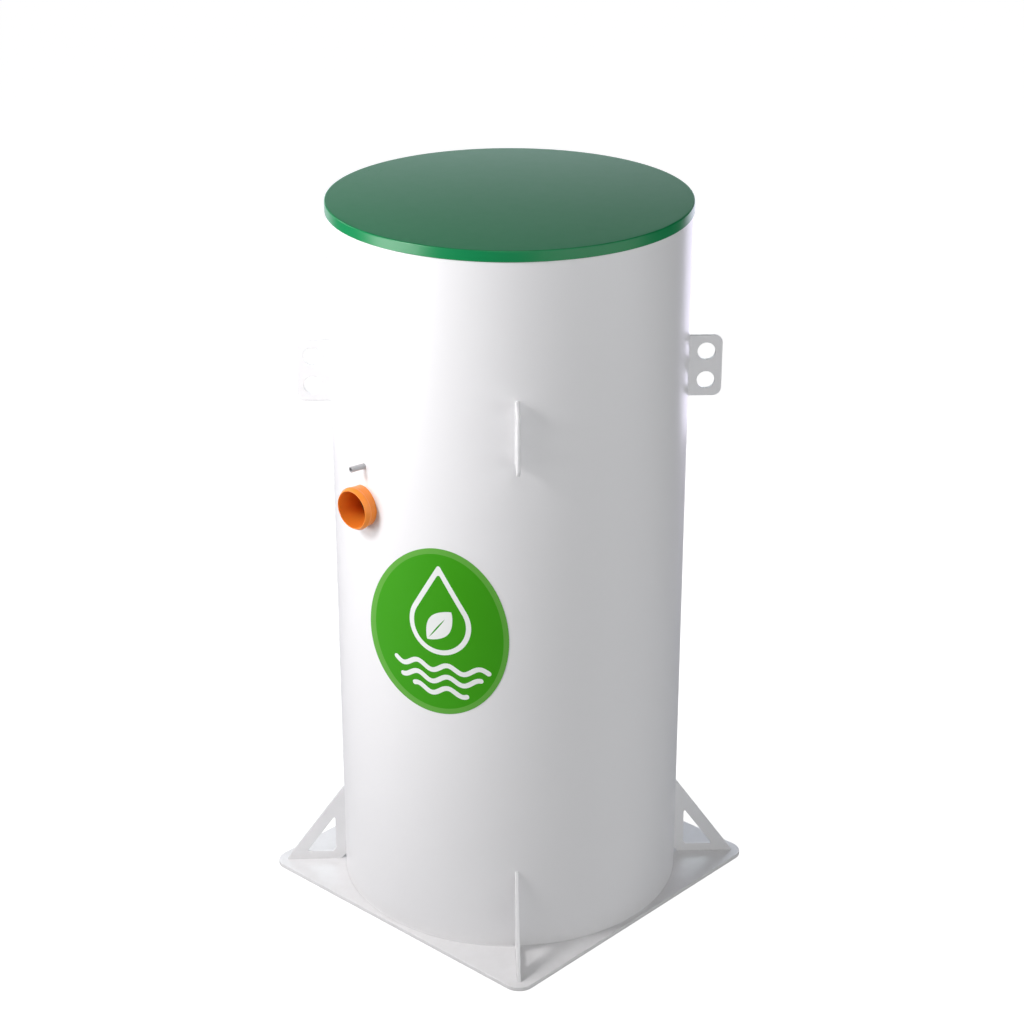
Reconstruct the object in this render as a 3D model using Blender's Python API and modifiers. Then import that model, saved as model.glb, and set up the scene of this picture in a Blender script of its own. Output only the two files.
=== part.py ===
"""Biological sewage treatment unit: a round upright tank of welded plastic sheet.

Metres, +Z up. The origin is at the centre of the base plate's underside, and the
plate's sides run along X and Y. The inlet side faces -Y and is called the front.
The lugs and gussets stand on the four diagonals.
"""

from math import cos, pi, radians, sin

import bmesh
import bpy
from mathutils import Matrix, Vector

# Overall sizes
TANK_RADIUS = 0.500
TOTAL_HEIGHT = 2.093
WALL_THICKNESS = 0.008
GAP = 0.0003
HOLE_DEPTH = 0.120
MERGE_DISTANCE = 0.00005

# The round wall: eight segments of twelve flat facets each
SEGMENT_NAMES = ("front", "front_right", "right", "back_right",
                 "back", "back_left", "left", "front_left")
SEGMENT_ANGLE = radians(360 / len(SEGMENT_NAMES))
FACETS_PER_SEGMENT = 12
FACET_ANGLE = SEGMENT_ANGLE / FACETS_PER_SEGMENT
ROUND_FACETS = FACETS_PER_SEGMENT * len(SEGMENT_NAMES)

# Base plate and floor
PLATE_SIDE = 1.027
PLATE_THICKNESS = 0.013
PLATE_CORNER_RADIUS = 0.049
PLATE_CORNER_SEGMENTS = 10
PLATE_EDGE_ROUNDING = 0.002
FLOOR_THICKNESS = 0.008
FLOOR_CLEARANCE = 0.0005

# Lid
LID_HEIGHT = 0.030
LID_RADIUS = 0.5035
LID_COVER_THICKNESS = 0.006
LID_EDGE_ROUNDING = 0.0027
LID_RIM_WIDTH = 0.012
LID_RING_DEPTH = 0.025
LID_RING_THICKNESS = 0.006
LID_RING_CLEARANCE = 0.005

# The lugs and gussets stand on the diagonals
CORNERS = {"front_right": radians(45), "back_right": radians(135),
           "back_left": radians(225), "front_left": radians(315)}

# Lifting lugs
LUG_REACH = 0.0975
LUG_HEIGHT = 0.180
LUG_THICKNESS = 0.010
LUG_CENTRE_HEIGHT = 1.597
LUG_CORNER_RADIUS = 0.024
LUG_CORNER_SEGMENTS = 6
LUG_EDGE_ROUNDING = 0.001
LUG_HOLE_RADIUS = 0.025
LUG_HOLE_REACH = 0.0515
LUG_HOLE_SPACING = 0.085
LUG_HOLE_FACETS = 32

# Gussets
GUSSET_REACH = 0.179
GUSSET_HEIGHT = 0.249
GUSSET_THICKNESS = 0.009
GUSSET_CLIP_WIDTH = 0.0165
GUSSET_CLIP_HEIGHT = 0.018
GUSSET_WALL_RIB = 0.0305
GUSSET_FOOT_RIB = 0.026
GUSSET_SLOPE_RIB = 0.034
GUSSET_INNER_CLIP_WIDTH = 0.008
GUSSET_INNER_CLIP_HEIGHT = 0.010

# Orange inlet socket, along -Y and set off to the left of the middle
INLET_X = -0.0868
INLET_HEIGHT = 1.3088
INLET_MOUTH_Y = -0.5395
INLET_LENGTH = 0.080
INLET_BORE = 0.0520
INLET_LIP_RADIUS = 0.0540
INLET_BEAD_RADIUS = 0.0603
INLET_BEAD_START = 0.009
INLET_BEAD_END = 0.017
INLET_NECK_DEPTH = 0.024
INLET_PIPE_RADIUS = 0.0562
INLET_FACETS = 48

# Cable conduit, square to the wall
CONDUIT_ANGLE = radians(-9.3)
CONDUIT_HEIGHT = 1.426
CONDUIT_TIP_RADIUS = 0.5446
CONDUIT_ROOT_RADIUS = 0.480
CONDUIT_OUTER_RADIUS = 0.008
CONDUIT_BORE_RADIUS = 0.006
CONDUIT_FACETS = 20

# The label is cut by an oval punch that slants down onto the wall
LABEL_ANGLE = radians(20.2)
LABEL_HEIGHT = 1.000
LABEL_THICKNESS = 0.0006
LABEL_HALF_WIDTH = 0.184
LABEL_HALF_HEIGHT = 0.232
LABEL_TILT = radians(17.3)
LABEL_PUNCH_ANGLE = radians(45)
LABEL_PUNCH_SLOPE = radians(25)
LABEL_PUNCH_LENGTH = 0.60
LABEL_PUNCH_FACETS = 96
LABEL_SHEET_FACETS = (3, 19)
LABEL_SHEET_MARGIN = 0.06

# Heights worked out from the sizes above
PLATE_TOP = PLATE_THICKNESS + GAP
LID_BASE = TOTAL_HEIGHT - LID_HEIGHT
WALL_TOP = LID_BASE - GAP
WALL_INNER_RADIUS = TANK_RADIUS - WALL_THICKNESS

MATERIALS = {
    "white_plastic": ((0.86, 0.86, 0.87), 0.30),
    "green_plastic": ((0.01, 0.22, 0.07), 0.30),
    "orange_plastic": ((0.90, 0.27, 0.03), 0.36),
    "grey_plastic": ((0.62, 0.62, 0.62), 0.45),
    "green_film": ((0.02, 0.30, 0.01), 0.45),
}


def clear_scene():
    for old in list(bpy.data.objects):
        bpy.data.objects.remove(old, do_unlink=True)


def make_collection(name):
    collection = bpy.data.collections.new(name)
    bpy.context.scene.collection.children.link(collection)
    return collection


def make_material(name):
    colour, roughness = MATERIALS[name]
    material = bpy.data.materials.new(name)
    material.use_nodes = True
    shader = material.node_tree.nodes["Principled BSDF"]
    shader.inputs["Base Color"].default_value = (*colour, 1.0)
    shader.inputs["Roughness"].default_value = roughness
    shader.inputs["Metallic"].default_value = 0.0
    return material


clear_scene()
PARTS = make_collection("sewage_treatment_unit")
CUTTERS = make_collection("cutters")


def face_outwards(shape):
    bmesh.ops.recalc_face_normals(shape, faces=shape.faces)
    if shape.faces and shape.calc_volume(signed=True) < 0:
        bmesh.ops.reverse_faces(shape, faces=shape.faces)


def add_object(name, shape, material_name):
    """Turn a bmesh into a named object of the part, with its own material."""
    mesh = bpy.data.meshes.new(name)
    face_outwards(shape)
    shape.to_mesh(mesh)
    shape.free()
    made = bpy.data.objects.new(name, mesh)
    PARTS.objects.link(made)
    material = make_material(material_name)
    material.name = f"{name}_{material_name}"
    mesh.materials.append(material)
    return made


def add_cutter(name, shape):
    mesh = bpy.data.meshes.new(name)
    face_outwards(shape)
    shape.to_mesh(mesh)
    shape.free()
    made = bpy.data.objects.new(name, mesh)
    made.hide_render = True
    made.display_type = "WIRE"
    CUTTERS.objects.link(made)
    return made


def use_boolean(target, cutter, operation="DIFFERENCE"):
    modifier = target.modifiers.new(f"{operation.lower()} {cutter.name}", "BOOLEAN")
    modifier.operation = operation
    modifier.solver = "EXACT"
    modifier.object = cutter


def round_edges(target, width, segments):
    modifier = target.modifiers.new("rounded edges", "BEVEL")
    modifier.width = width
    modifier.segments = segments
    modifier.limit_method = "ANGLE"
    modifier.angle_limit = radians(40)


def shade_round(target):
    target.data.shade_smooth()
    target.data.set_sharp_from_angle(angle=radians(30))


def on_circle(radius, angle, height):
    """A point at an angle counted from the front (-Y) towards +X."""
    return Vector((radius * sin(angle), -radius * cos(angle), height))


def box_shape(size, centre):
    shape = bmesh.new()
    bmesh.ops.create_cube(shape, size=1.0)
    bmesh.ops.scale(shape, vec=size, verts=shape.verts)
    bmesh.ops.translate(shape, vec=centre, verts=shape.verts)
    return shape


def cylinder_shape(radius, depth, facets):
    shape = bmesh.new()
    bmesh.ops.create_cone(shape, cap_ends=True, segments=facets,
                          radius1=radius, radius2=radius, depth=depth)
    return shape


def bent_bar(inner, outer, low, high, start, facets):
    """A flat bar bent round the tank's axis, with one flat facet for each step."""
    shape = box_shape((1.0, 1.0, 1.0), (0.5, 0.5, 0.5))
    long_edges = [edge for edge in shape.edges
                  if abs(edge.verts[0].co.x - edge.verts[1].co.x) > 0.5]
    bmesh.ops.subdivide_edges(shape, edges=long_edges, cuts=facets - 1, use_grid_fill=True)
    for vert in shape.verts:
        along, across, up = vert.co
        radius = inner + (outer - inner) * across
        trim = (0.5 - along) * GAP / radius
        angle = start + along * facets * FACET_ANGLE + trim
        vert.co = on_circle(radius, angle, low + (high - low) * up)
    return shape


def turned_shape(name, profile, facets, material_name):
    """A closed profile of (radius, height) points, turned round local Z."""
    shape = bmesh.new()
    verts = [shape.verts.new((radius, 0.0, height)) for radius, height in profile]
    for here, there in zip(verts, verts[1:] + verts[:1]):
        shape.edges.new((here, there))
    turned = add_object(name, shape, material_name)
    screw = turned.modifiers.new("turned", "SCREW")
    screw.axis = "Z"
    screw.angle = 2 * pi
    screw.steps = facets
    screw.render_steps = facets
    screw.use_merge_vertices = True
    screw.merge_threshold = MERGE_DISTANCE
    return turned


def make_base_plate():
    shape = box_shape((PLATE_SIDE, PLATE_SIDE, PLATE_THICKNESS), (0, 0, PLATE_THICKNESS / 2))
    upright = [edge for edge in shape.edges
               if abs(edge.verts[0].co.z - edge.verts[1].co.z) > PLATE_THICKNESS / 2]
    bmesh.ops.bevel(shape, geom=upright, offset=PLATE_CORNER_RADIUS, affect="EDGES",
                    segments=PLATE_CORNER_SEGMENTS, profile=0.5)
    plate = add_object("base_plate", shape, "white_plastic")
    round_edges(plate, PLATE_EDGE_ROUNDING, 2)
    shade_round(plate)


def make_tank_floor():
    radius = WALL_INNER_RADIUS - FLOOR_CLEARANCE
    floor = add_object("tank_floor", cylinder_shape(radius, FLOOR_THICKNESS, ROUND_FACETS),
                       "white_plastic")
    floor.location = (0, 0, PLATE_TOP + FLOOR_THICKNESS / 2)


def make_wall():
    """The tank's wall in eight segments, with the two pipe holes in the front one."""
    segments = {}
    for index, side in enumerate(SEGMENT_NAMES):
        start = (index - 0.5) * SEGMENT_ANGLE
        shape = bent_bar(WALL_INNER_RADIUS, TANK_RADIUS, PLATE_TOP, WALL_TOP,
                         start, FACETS_PER_SEGMENT)
        segments[side] = add_object(f"wall_{side}", shape, "white_plastic")
        shade_round(segments[side])

    inlet_hole = add_cutter("inlet_hole",
                            cylinder_shape(INLET_PIPE_RADIUS + GAP, HOLE_DEPTH, INLET_FACETS))
    inlet_hole.location = (INLET_X, -TANK_RADIUS, INLET_HEIGHT)
    inlet_hole.rotation_euler = (pi / 2, 0, 0)
    use_boolean(segments["front"], inlet_hole)

    conduit_hole = add_cutter("conduit_hole",
                              cylinder_shape(CONDUIT_OUTER_RADIUS + GAP, HOLE_DEPTH, CONDUIT_FACETS))
    conduit_hole.location = on_circle(TANK_RADIUS, CONDUIT_ANGLE, CONDUIT_HEIGHT)
    conduit_hole.rotation_euler = (pi / 2, 0, CONDUIT_ANGLE)
    use_boolean(segments["front"], conduit_hole)


def make_lid():
    """A cover disc, the rim band under its edge, and a ring that keeps it centred."""
    lid = bpy.data.objects.new("lid", None)
    lid.location = (0, 0, LID_BASE)
    PARTS.objects.link(lid)

    cover = add_object("lid_cover", cylinder_shape(LID_RADIUS, LID_COVER_THICKNESS, ROUND_FACETS),
                       "green_plastic")
    cover.location = (0, 0, LID_HEIGHT - LID_COVER_THICKNESS / 2)
    cover.parent = lid
    round_edges(cover, LID_EDGE_ROUNDING, 3)
    shade_round(cover)

    under_cover = LID_HEIGHT - LID_COVER_THICKNESS - GAP
    rim_inner = LID_RADIUS - LID_RIM_WIDTH
    rim = turned_shape("lid_rim", [(LID_RADIUS, under_cover), (LID_RADIUS, 0),
                                   (rim_inner, 0), (rim_inner, under_cover)],
                       ROUND_FACETS, "green_plastic")
    rim.parent = lid

    ring_outer = WALL_INNER_RADIUS - LID_RING_CLEARANCE
    ring_inner = ring_outer - LID_RING_THICKNESS
    ring = turned_shape("lid_locating_ring", [(ring_outer, under_cover), (ring_outer, -LID_RING_DEPTH),
                                              (ring_inner, -LID_RING_DEPTH), (ring_inner, under_cover)],
                        ROUND_FACETS, "green_plastic")
    ring.parent = lid


def make_lug(corner, angle):
    """An upright lug: a sheet with two rounded outer corners and two round holes."""
    reach = LUG_REACH - GAP
    shape = box_shape((reach, LUG_THICKNESS, LUG_HEIGHT), (GAP + reach / 2, 0, 0))
    outer = [edge for edge in shape.edges
             if all(vert.co.x > reach / 2 for vert in edge.verts)
             and abs(edge.verts[0].co.y - edge.verts[1].co.y) > LUG_THICKNESS / 2]
    bmesh.ops.bevel(shape, geom=outer, offset=LUG_CORNER_RADIUS, affect="EDGES",
                    segments=LUG_CORNER_SEGMENTS, profile=0.5)
    lug = add_object(f"lug_{corner}", shape, "white_plastic")
    place = Matrix.Translation(on_circle(TANK_RADIUS, angle, LUG_CENTRE_HEIGHT))
    lug.matrix_world = place @ Matrix.Rotation(angle - pi / 2, 4, "Z")
    for level, side in (("upper", 0.5), ("lower", -0.5)):
        hole = add_cutter(f"lug_{corner}_{level}_hole",
                          cylinder_shape(LUG_HOLE_RADIUS, 4 * LUG_THICKNESS, LUG_HOLE_FACETS))
        spot = Matrix.Translation((LUG_HOLE_REACH, 0, side * LUG_HOLE_SPACING))
        hole.matrix_world = lug.matrix_world @ spot @ Matrix.Rotation(pi / 2, 4, "X")
        use_boolean(lug, hole)
    round_edges(lug, LUG_EDGE_ROUNDING, 1)
    shade_round(lug)


def gusset_outline():
    """Outer outline of (reach, height) points, with the corner by the weld clipped off."""
    return [(GAP, GUSSET_HEIGHT), (GUSSET_REACH, GAP), (GUSSET_CLIP_WIDTH, GAP),
            (GAP, GUSSET_CLIP_HEIGHT)]


def gusset_window():
    """Triangle left between the three ribs, with its square corner clipped."""
    slope = GUSSET_HEIGHT / GUSSET_REACH
    drop = GUSSET_SLOPE_RIB * (1 + slope * slope) ** 0.5
    top = GUSSET_HEIGHT - drop - slope * GUSSET_WALL_RIB
    tip = (GUSSET_HEIGHT - drop - GUSSET_FOOT_RIB) / slope
    return [(GUSSET_WALL_RIB, top), (tip, GUSSET_FOOT_RIB),
            (GUSSET_WALL_RIB + GUSSET_INNER_CLIP_WIDTH, GUSSET_FOOT_RIB),
            (GUSSET_WALL_RIB, GUSSET_FOOT_RIB + GUSSET_INNER_CLIP_HEIGHT)]


def flat_sheet(name, outlines, thickness):
    """A flat curve with holes, filled and made thick, then turned into a mesh."""
    curve = bpy.data.curves.new(name, "CURVE")
    curve.dimensions = "2D"
    curve.fill_mode = "BOTH"
    curve.extrude = thickness / 2
    for outline in outlines:
        spline = curve.splines.new("POLY")
        spline.points.add(len(outline) - 1)
        for point, (x, y) in zip(spline.points, outline):
            point.co = (x, y, 0, 1)
        spline.use_cyclic_u = True
    flat = bpy.data.objects.new(name, curve)
    bpy.context.scene.collection.objects.link(flat)
    evaluated = flat.evaluated_get(bpy.context.evaluated_depsgraph_get())
    mesh = bpy.data.meshes.new_from_object(evaluated)
    shape = bmesh.new()
    shape.from_mesh(mesh)
    bmesh.ops.remove_doubles(shape, verts=shape.verts, dist=MERGE_DISTANCE)
    bpy.data.objects.remove(flat, do_unlink=True)
    bpy.data.curves.remove(curve)
    bpy.data.meshes.remove(mesh)
    return shape


def make_gusset(corner, angle):
    shape = flat_sheet(f"gusset_{corner}_outline", [gusset_outline(), gusset_window()],
                       GUSSET_THICKNESS)
    gusset = add_object(f"gusset_{corner}", shape, "white_plastic")
    place = Matrix.Translation(on_circle(TANK_RADIUS, angle, PLATE_THICKNESS))
    turn = Matrix.Rotation(angle - pi / 2, 4, "Z") @ Matrix.Rotation(pi / 2, 4, "X")
    gusset.matrix_world = place @ turn


def make_inlet():
    """A pipe with a thick rounded lip at its mouth, set through the wall."""
    profile = [(INLET_BORE, 0), (INLET_LIP_RADIUS, 0),
               (INLET_BEAD_RADIUS, -INLET_BEAD_START), (INLET_BEAD_RADIUS, -INLET_BEAD_END),
               (INLET_PIPE_RADIUS, -INLET_NECK_DEPTH), (INLET_PIPE_RADIUS, -INLET_LENGTH),
               (INLET_BORE, -INLET_LENGTH)]
    inlet = turned_shape("inlet_socket", profile, INLET_FACETS, "orange_plastic")
    inlet.location = (INLET_X, INLET_MOUTH_Y, INLET_HEIGHT)
    inlet.rotation_euler = (pi / 2, 0, 0)
    shade_round(inlet)


def make_conduit():
    length = CONDUIT_TIP_RADIUS - CONDUIT_ROOT_RADIUS
    profile = [(CONDUIT_OUTER_RADIUS, 0), (CONDUIT_OUTER_RADIUS, -length),
               (CONDUIT_BORE_RADIUS, -length), (CONDUIT_BORE_RADIUS, 0)]
    conduit = turned_shape("cable_conduit", profile, CONDUIT_FACETS, "grey_plastic")
    conduit.location = on_circle(CONDUIT_TIP_RADIUS, CONDUIT_ANGLE, CONDUIT_HEIGHT)
    conduit.rotation_euler = (pi / 2, 0, CONDUIT_ANGLE)
    shade_round(conduit)


def make_label():
    """A thin film on the wall, as far as an oval punch reaches it."""
    inner = TANK_RADIUS + GAP
    first, last = LABEL_SHEET_FACETS
    start = -SEGMENT_ANGLE / 2 + first * FACET_ANGLE
    low = LABEL_HEIGHT - LABEL_HALF_HEIGHT - LABEL_SHEET_MARGIN
    high = LABEL_HEIGHT + LABEL_HALF_HEIGHT + LABEL_SHEET_MARGIN
    label = add_object("round_label", bent_bar(inner, inner + LABEL_THICKNESS, low, high,
                                               start, last - first), "green_film")
    shape = cylinder_shape(1.0, LABEL_PUNCH_LENGTH, LABEL_PUNCH_FACETS)
    bmesh.ops.scale(shape, vec=(LABEL_HALF_WIDTH, LABEL_HALF_HEIGHT, 1.0), verts=shape.verts)
    punch = add_cutter("label_punch", shape)
    place = Matrix.Translation(on_circle(TANK_RADIUS, LABEL_ANGLE, LABEL_HEIGHT))
    turn = Matrix.Rotation(LABEL_PUNCH_ANGLE, 4, "Z")
    slope = Matrix.Rotation(pi / 2 - LABEL_PUNCH_SLOPE, 4, "X")
    punch.matrix_world = place @ turn @ slope @ Matrix.Rotation(LABEL_TILT, 4, "Z")
    use_boolean(label, punch, "INTERSECT")
    shade_round(label)


make_base_plate()
make_tank_floor()
make_wall()
make_lid()
for corner_name, corner_angle in CORNERS.items():
    make_lug(corner_name, corner_angle)
    make_gusset(corner_name, corner_angle)
make_inlet()
make_conduit()
make_label()
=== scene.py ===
from math import asin, atan2, cos, hypot, pi, radians, sin, sqrt, tan

import bmesh
import bpy
from mathutils import Matrix, Vector


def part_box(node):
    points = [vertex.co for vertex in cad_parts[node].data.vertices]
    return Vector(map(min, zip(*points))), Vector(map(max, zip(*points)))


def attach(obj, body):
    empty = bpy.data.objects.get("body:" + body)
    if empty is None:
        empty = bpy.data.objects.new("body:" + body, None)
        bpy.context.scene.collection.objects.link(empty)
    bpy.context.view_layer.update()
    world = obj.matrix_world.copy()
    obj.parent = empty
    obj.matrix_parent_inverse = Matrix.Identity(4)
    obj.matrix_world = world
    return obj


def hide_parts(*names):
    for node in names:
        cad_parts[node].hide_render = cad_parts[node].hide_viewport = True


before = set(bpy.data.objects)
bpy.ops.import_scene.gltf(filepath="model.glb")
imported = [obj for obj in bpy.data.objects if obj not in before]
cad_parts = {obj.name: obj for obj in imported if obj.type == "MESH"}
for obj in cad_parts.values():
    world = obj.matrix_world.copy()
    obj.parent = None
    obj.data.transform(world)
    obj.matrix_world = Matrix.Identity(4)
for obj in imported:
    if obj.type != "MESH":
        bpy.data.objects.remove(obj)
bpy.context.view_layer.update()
print("frame loaded:", len(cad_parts), "solids")

cornerAngles = {"front_right": radians(45), "back_right": radians(135),
                "back_left": radians(225), "front_left": radians(315)}
wallSides = ["front", "front_right", "right", "back_right", "back", "back_left", "left", "front_left"]

wallLow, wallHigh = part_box("wall_right")
tankRadius = wallHigh.x
innerRadius = wallLow.x / cos(pi / len(wallSides))  # its two ends stand half a segment off the middle
plateLow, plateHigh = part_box("base_plate")


# Shared node groups

def newGroup(name, inputs, outputs):
    group = bpy.data.node_groups.new(name, "ShaderNodeTree")
    for label, kind, value in inputs:
        socket = group.interface.new_socket(label, in_out="INPUT", socket_type=kind)
        socket.default_value = value
    for label, kind in outputs:
        group.interface.new_socket(label, in_out="OUTPUT", socket_type=kind)
    start = group.nodes.new("NodeGroupInput")
    end = group.nodes.new("NodeGroupOutput")
    return group, start, end


def addNode(tree, kind, spot, **values):
    # a keyword is a socket's name, with an underscore for each space
    node = tree.nodes.new(kind)
    node.location = spot
    for key, value in values.items():
        node.inputs[key.replace("_", " ")].default_value = value
    return node


def addMath(tree, operation, first, second, spot, clamp=False):
    node = addNode(tree, "ShaderNodeMath", spot)
    node.operation = operation
    node.use_clamp = clamp
    for socket, value in zip(node.inputs, (first, second)):
        if isinstance(value, (int, float)):
            socket.default_value = value
        else:
            tree.links.new(value, socket)
    return node.outputs[0]


def addMix(tree, factor, first, second, spot):
    node = addNode(tree, "ShaderNodeMix", spot)
    node.data_type = "RGBA"
    for socket, value in zip((node.inputs[0], node.inputs[6], node.inputs[7]), (factor, first, second)):
        if isinstance(value, bpy.types.NodeSocket):
            tree.links.new(value, socket)
        else:
            socket.default_value = value
    return node.outputs[2]


def makeSkinGroup():
    group, start, end = newGroup("plasticSkin", [
        ("Colour", "NodeSocketColor", (0.8, 0.8, 0.8, 1)),
        ("Shade", "NodeSocketColor", (0.7, 0.7, 0.7, 1)),
        ("Mottle", "NodeSocketFloat", 0.1),
        ("Roughness", "NodeSocketFloat", 0.35),
        ("Spread", "NodeSocketFloat", 0.06),
        ("Grain Scale", "NodeSocketFloat", 400.0),
        ("Wave Height", "NodeSocketFloat", 1.0),
    ], [
        ("Colour", "NodeSocketColor"),
        ("Roughness", "NodeSocketFloat"),
        ("Height", "NodeSocketFloat"),
    ])
    link = group.links.new
    place = addNode(group, "ShaderNodeTexCoord", (-900, 0))
    cloud = addNode(group, "ShaderNodeTexNoise", (-650, 250), Scale=2.6, Detail=3.0, Roughness=0.5)
    patch = addNode(group, "ShaderNodeTexNoise", (-650, 0), Scale=23.0, Detail=4.0, Roughness=0.6)
    grain = addNode(group, "ShaderNodeTexNoise", (-650, -250), Detail=2.0, Roughness=0.5)
    wave = addNode(group, "ShaderNodeTexNoise", (-650, -500), Scale=5.0, Detail=1.0, Roughness=0.4)
    for texture in (cloud, patch, grain, wave):
        link(place.outputs["Object"], texture.inputs["Vector"])
    link(start.outputs["Grain Scale"], grain.inputs["Scale"])
    amount = addMath(group, "MULTIPLY", cloud.outputs[0], start.outputs["Mottle"], (-400, 250), True)
    colour = addMix(group, amount, start.outputs["Colour"], start.outputs["Shade"], (-200, 250))
    link(colour, end.inputs["Colour"])
    offset = addMath(group, "SUBTRACT", patch.outputs[0], 0.5, (-400, 0))
    offset = addMath(group, "MULTIPLY", offset, start.outputs["Spread"], (-250, 0))
    rough = addMath(group, "ADD", offset, start.outputs["Roughness"], (-100, 0), True)
    link(rough, end.inputs["Roughness"])
    swell = addMath(group, "MULTIPLY", wave.outputs[0], start.outputs["Wave Height"], (-400, -450))
    height = addMath(group, "MULTIPLY", grain.outputs[0], 0.035, (-400, -250))
    height = addMath(group, "ADD", height, swell, (-200, -300))
    link(height, end.inputs["Height"])
    return group


def makeDustGroup():
    group, start, end = newGroup("groundDust", [
        ("Colour", "NodeSocketColor", (0.8, 0.8, 0.8, 1)),
        ("Dust", "NodeSocketColor", (0.5, 0.47, 0.43, 1)),
        ("Roughness", "NodeSocketFloat", 0.4),
        ("Amount", "NodeSocketFloat", 0.2),
        ("Reach", "NodeSocketFloat", 0.1),
    ], [
        ("Colour", "NodeSocketColor"),
        ("Roughness", "NodeSocketFloat"),
    ])
    link = group.links.new
    place = addNode(group, "ShaderNodeTexCoord", (-900, 0))
    parts = addNode(group, "ShaderNodeSeparateXYZ", (-700, 100))
    speck = addNode(group, "ShaderNodeTexNoise", (-700, -150), Scale=38.0, Detail=6.0, Roughness=0.7)
    link(place.outputs["Object"], parts.inputs[0])
    link(place.outputs["Object"], speck.inputs["Vector"])
    fall = addMath(group, "DIVIDE", parts.outputs["Z"], start.outputs["Reach"], (-500, 100))
    fall = addMath(group, "SUBTRACT", 1.0, fall, (-350, 100), True)
    fall = addMath(group, "MULTIPLY", fall, fall, (-200, 100))
    mask = addMath(group, "MULTIPLY", fall, speck.outputs[0], (-50, 0))
    mask = addMath(group, "MULTIPLY", mask, start.outputs["Amount"], (100, 0), True)
    colour = addMix(group, mask, start.outputs["Colour"], start.outputs["Dust"], (250, 150))
    link(colour, end.inputs["Colour"])
    rough = addMath(group, "MULTIPLY", mask, 0.5, (250, -100))
    rough = addMath(group, "ADD", rough, start.outputs["Roughness"], (400, -100), True)
    link(rough, end.inputs["Roughness"])
    return group


def makeScuffGroup():
    group, start, end = newGroup("handlingScuffs", [
        ("Scale", "NodeSocketFloat", 3.0),
        ("Amount", "NodeSocketFloat", 0.3),
    ], [
        ("Mask", "NodeSocketFloat"),
    ])
    link = group.links.new
    place = addNode(group, "ShaderNodeTexCoord", (-1100, 0))
    where = addNode(group, "ShaderNodeTexNoise", (-700, 200), Detail=3.0, Roughness=0.6)
    stretch = addNode(group, "ShaderNodeMapping", (-900, -100), Rotation=(0.6, 0.3, 0.8), Scale=(90, 90, 4))
    line = addNode(group, "ShaderNodeTexNoise", (-700, -100), Scale=1.0, Detail=2.0, Roughness=0.6)
    link(place.outputs["Object"], where.inputs["Vector"])
    link(start.outputs["Scale"], where.inputs["Scale"])
    link(place.outputs["Object"], stretch.inputs["Vector"])
    link(stretch.outputs[0], line.inputs["Vector"])
    spots = addNode(group, "ShaderNodeMapRange", (-450, 200), From_Min=0.55, From_Max=0.75)
    lines = addNode(group, "ShaderNodeMapRange", (-450, -100), From_Min=0.60, From_Max=0.72)
    link(where.outputs[0], spots.inputs["Value"])
    link(line.outputs[0], lines.inputs["Value"])
    mask = addMath(group, "MULTIPLY", spots.outputs[0], lines.outputs[0], (-200, 100))
    mask = addMath(group, "MULTIPLY", mask, start.outputs["Amount"], (-50, 100), True)
    link(mask, end.inputs["Mask"])
    return group


plasticSkin = makeSkinGroup()
groundDust = makeDustGroup()
handlingScuffs = makeScuffGroup()
print("node groups ready")


# Materials

finishes = {
    "whiteSheet": {"colour": (0.87, 0.87, 0.875), "shade": (0.84, 0.84, 0.85), "mottle": 0.5,
                   "roughness": 0.29, "spread": 0.05, "grain": 420.0, "wave": 0.9, "ior": 1.49,
                   "bump": 0.10, "dust": 0.35, "reach": 0.10, "scuffs": 0.25},
    "whiteWeld": {"colour": (0.78, 0.78, 0.785), "shade": (0.73, 0.73, 0.74), "mottle": 0.5,
                  "roughness": 0.40, "spread": 0.08, "grain": 900.0, "wave": 0.3, "ior": 1.49,
                  "bump": 0.15, "dust": 0.5, "reach": 0.06, "scuffs": 0.0},
    "greenSheet": {"colour": (0.006, 0.240, 0.078), "shade": (0.005, 0.220, 0.072), "mottle": 0.6,
                   "roughness": 0.30, "spread": 0.06, "grain": 420.0, "wave": 0.9, "ior": 1.49,
                   "bump": 0.10, "dust": 0.0, "reach": 1.0, "scuffs": 0.35},
    "orangePipe": {"colour": (0.97, 0.290, 0.032), "shade": (0.94, 0.265, 0.028), "mottle": 0.5,
                   "roughness": 0.36, "spread": 0.06, "grain": 700.0, "wave": 0.3, "ior": 1.52,
                   "bump": 0.10, "dust": 0.0, "reach": 1.0, "scuffs": 0.2},
    "greyPipe": {"colour": (0.50, 0.50, 0.51), "shade": (0.44, 0.44, 0.45), "mottle": 0.5,
                 "roughness": 0.42, "spread": 0.06, "grain": 900.0, "wave": 0.3, "ior": 1.50,
                 "bump": 0.12, "dust": 0.0, "reach": 1.0, "scuffs": 0.2},
    "filmGround": {"colour": (0.042, 0.325, 0.001), "shade": (0.038, 0.310, 0.001), "mottle": 0.4,
                   "roughness": 0.50, "spread": 0.05, "grain": 1100.0, "wave": 0.5, "ior": 1.33,
                   "bump": 0.06, "dust": 0.0, "reach": 1.0, "scuffs": 0.3},
    "filmBorder": {"colour": (0.120, 0.400, 0.050), "shade": (0.113, 0.385, 0.047), "mottle": 0.4,
                   "roughness": 0.50, "spread": 0.05, "grain": 1100.0, "wave": 0.5, "ior": 1.33,
                   "bump": 0.06, "dust": 0.0, "reach": 1.0, "scuffs": 0.3},
    "filmMotif": {"colour": (0.86, 0.88, 0.86), "shade": (0.82, 0.85, 0.82), "mottle": 0.4,
                  "roughness": 0.38, "spread": 0.05, "grain": 1100.0, "wave": 0.5, "ior": 1.47,
                  "bump": 0.06, "dust": 0.0, "reach": 1.0, "scuffs": 0.3},
}
scuffRoughness = 0.35  # how much duller a full scuff is
bumpDistance = 0.002


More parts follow.
